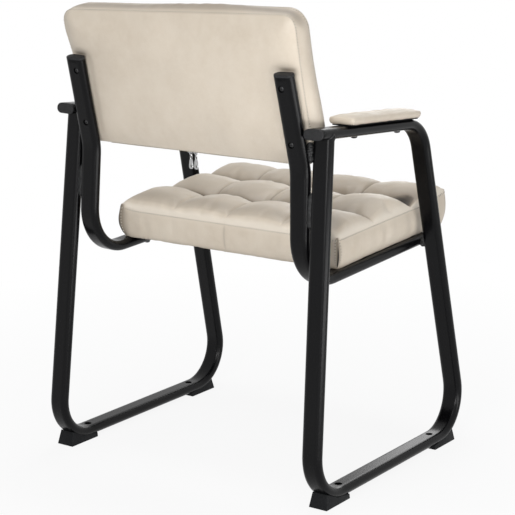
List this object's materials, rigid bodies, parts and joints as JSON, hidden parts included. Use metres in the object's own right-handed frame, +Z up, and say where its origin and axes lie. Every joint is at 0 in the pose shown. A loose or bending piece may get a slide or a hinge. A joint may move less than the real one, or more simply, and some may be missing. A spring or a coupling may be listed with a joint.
{
  "type": "sled base visitor chair",
  "caption": "Visitor armchair on bent tube sleds, with a tufted seat, a plain backed cushion between two posts, padded arms and wedge glides.",
  "frame": {"origin": "on the floor, below the middle of the chair's box", "axes": "+Z up, the sitter faces -Y, +X at the sitter's left"},
  "size_m": [0.6154, 0.5354, 0.8545],
  "materials": {
    "frame_coat": "satin black powder coat with a fine grain",
    "plug_plastic": "grained matte",
    "glide_plastic": "satin",
    "upholstery": "smooth satin leathercloth",
    "plywood": "raw",
    "black_cloth": "matte nonwoven",
    "tape_cloth": "woven tape",
    "black_steel": "satin black",
    "zinc_steel": "zinc plated",
    "zip_metal": "bright nickel"
  },
  "bodies": {
    "chair": {"sled_tube_right": "frame_coat", "seat_back_rail_right": "frame_coat", "rear_weld_right": "frame_coat", "front_weld_right": "frame_coat", "arm_end_plug_right": "plug_plastic", "post_top_plug_right": "plug_plastic", "rail_front_plug_right": "plug_plastic", "glide_rear_right": "glide_plastic", "glide_screw_rear_right": "black_steel", "seat_bolt_rear_right": "black_steel", "seat_nut_rear_right": "zinc_steel", "arm_screw_rear_right": "black_steel", "glide_front_right": "glide_plastic", "glide_screw_front_right": "black_steel", "seat_bolt_front_right": "black_steel", "seat_nut_front_right": "zinc_steel", "arm_screw_front_right": "black_steel", "back_screw_low_right": "black_steel", "back_nut_low_right": "zinc_steel", "back_screw_high_right": "black_steel", "back_nut_high_right": "zinc_steel", "arm_pad_board_right": "black_cloth", "arm_pad_right": "upholstery", "sled_tube_left": "frame_coat", "seat_back_rail_left": "frame_coat", "rear_weld_left": "frame_coat", "front_weld_left": "frame_coat", "arm_end_plug_left": "plug_plastic", "post_top_plug_left": "plug_plastic", "rail_front_plug_left": "plug_plastic", "glide_rear_left": "glide_plastic", "glide_screw_rear_left": "black_steel", "seat_bolt_rear_left": "black_steel", "seat_nut_rear_left": "zinc_steel", "arm_screw_rear_left": "black_steel", "glide_front_left": "glide_plastic", "glide_screw_front_left": "black_steel", "seat_bolt_front_left": "black_steel", "seat_nut_front_left": "zinc_steel", "arm_screw_front_left": "black_steel", "back_screw_low_left": "black_steel", "back_nut_low_left": "zinc_steel", "back_screw_high_left": "black_steel", "back_nut_high_left": "zinc_steel", "arm_pad_board_left": "black_cloth", "arm_pad_left": "upholstery", "seat_board": "plywood", "back_board": "plywood", "seat_cushion": "upholstery", "back_cushion": "upholstery", "seat_dust_cover": "black_cloth", "zip_tape": "tape_cloth"},
    "right_slider": {"zip_slider_right": "zip_metal"},
    "left_slider": {"zip_slider_left": "zip_metal"},
    "right_pull": {"zip_pull_right": "zip_metal"},
    "left_pull": {"zip_pull_left": "zip_metal"}
  },
  "joints": [
    {"name": "left_zip_slide", "type": "slide", "parent": "chair", "child": "left_slider", "axis": [1, 0, 0], "range_m": [0, 0.16]},
    {"name": "left_pull_swing", "type": "hinge", "parent": "left_slider", "child": "left_pull", "pos_m": [0.02525, 0.17953, 0.58124], "axis": [1, 0, 0], "range_deg": [-70, 70]},
    {"name": "right_zip_slide", "type": "slide", "parent": "chair", "child": "right_slider", "axis": [-1, 0, 0], "range_m": [0, 0.2]},
    {"name": "right_pull_swing", "type": "hinge", "parent": "right_slider", "child": "right_pull", "pos_m": [0.01375, 0.17953, 0.58124], "axis": [1, 0, 0], "range_deg": [-70, 70]}
  ]
}
